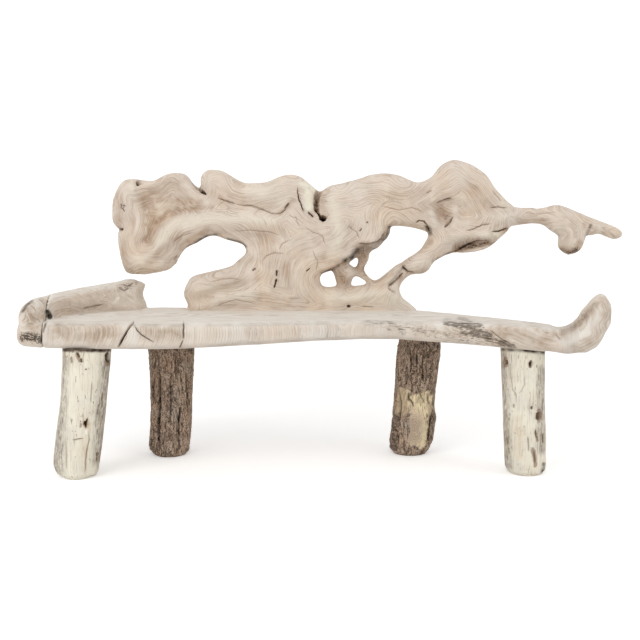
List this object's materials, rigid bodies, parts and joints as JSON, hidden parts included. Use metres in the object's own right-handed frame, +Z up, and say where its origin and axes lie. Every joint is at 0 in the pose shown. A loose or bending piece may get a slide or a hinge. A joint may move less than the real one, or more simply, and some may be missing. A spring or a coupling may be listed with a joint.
{
  "type": "log bench",
  "caption": "Rustic bench: a live-edge plank seat on log legs, a twisted root standing along its rear edge as the back, a raised rim at one end and an upturned horn at the other.",
  "frame": {"origin": "on the floor, under the middle of the bench's bounding box", "axes": "+X along the bench, to the right as one stands in front of it; +Y from the front edge to the back; +Z up"},
  "size_m": [1.8482, 0.5812, 0.93],
  "materials": {
    "weathered_plank": "weathered, matt",
    "bleached_root": "bleached, matt",
    "peeled_log": "peeled and dry, matt",
    "bark_log": "rough bark, matt",
    "joint_wood": "sawn, matt",
    "screw_steel": "zinc plated, dull"
  },
  "bodies": {
    "root": {"seat_slab": "weathered_plank", "end_limb": "weathered_plank", "back_root": "bleached_root", "leg_front_left": "peeled_log", "leg_front_right": "peeled_log", "leg_rear_left": "bark_log", "leg_rear_right": "bark_log", "leg_wedges": "joint_wood", "end_tongue": "joint_wood", "back_screws": "screw_steel"}
  },
  "joints": []
}
